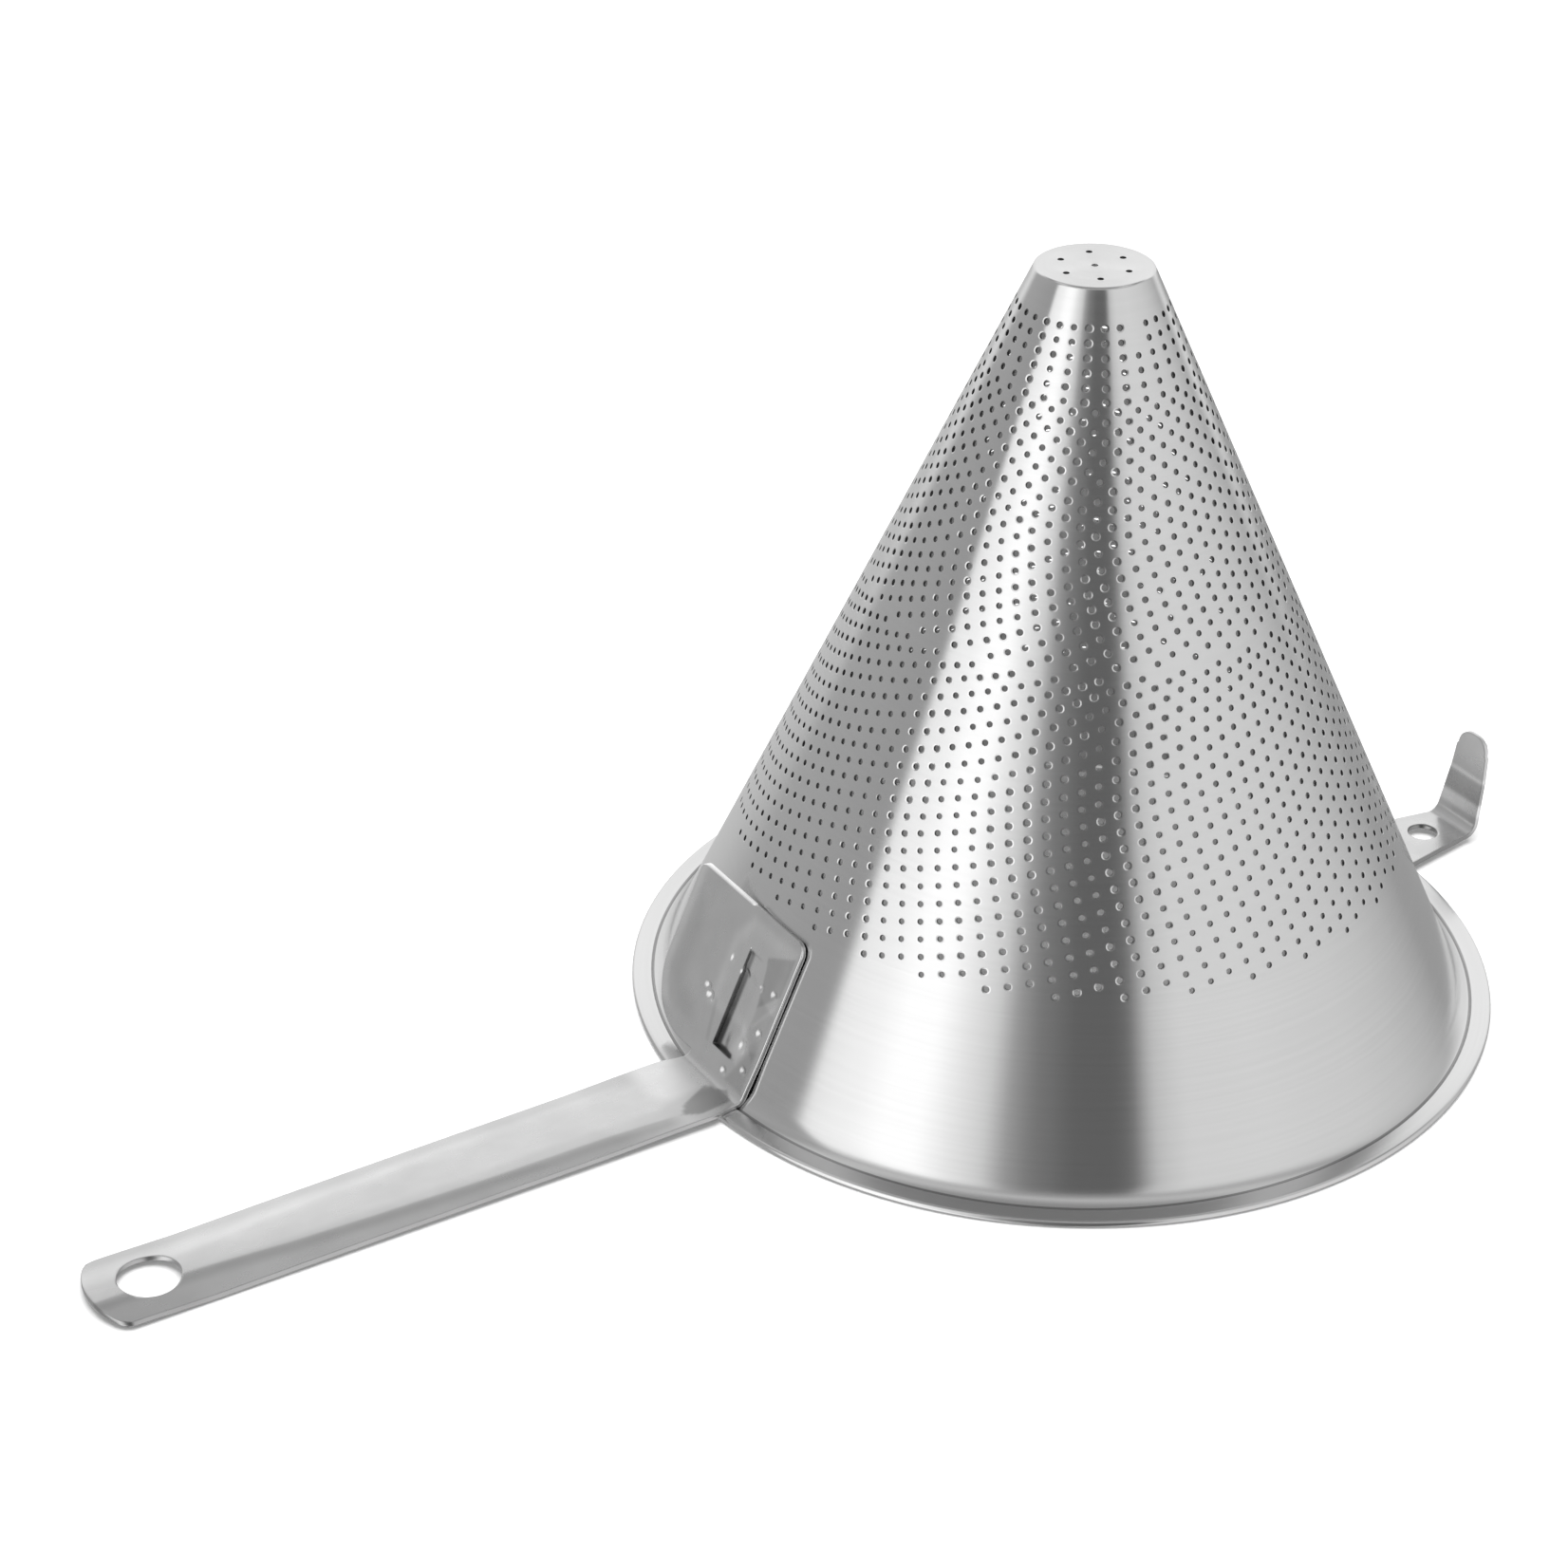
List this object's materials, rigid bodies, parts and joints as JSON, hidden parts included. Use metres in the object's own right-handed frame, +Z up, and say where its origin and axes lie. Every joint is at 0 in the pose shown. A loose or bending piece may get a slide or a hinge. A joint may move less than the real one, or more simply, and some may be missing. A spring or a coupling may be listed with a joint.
{
  "type": "chinois strainer",
  "caption": "Conical perforated steel strainer with a flat tip, folded rim, long flat handle with hanging hole and an upturned pot hook.",
  "frame": {"origin": "middle of the strainer's whole length, from the handle's end to the hook, on the floor that the upturned rim stands on; the cone's axis is at x = 0.06962 m, y = 0", "axes": "+Z up, from the rim to the tip; the handle points to -X and the hook to +X"},
  "size_m": [0.4418, 0.24, 0.2111],
  "materials": {
    "brushed_cone": "brushed round the axis",
    "brushed_handle": "fine brushed",
    "brushed_hook": "fine brushed"
  },
  "bodies": {
    "root": {"cone_body": "brushed_cone", "handle": "brushed_handle", "hook": "brushed_hook"}
  },
  "joints": []
}
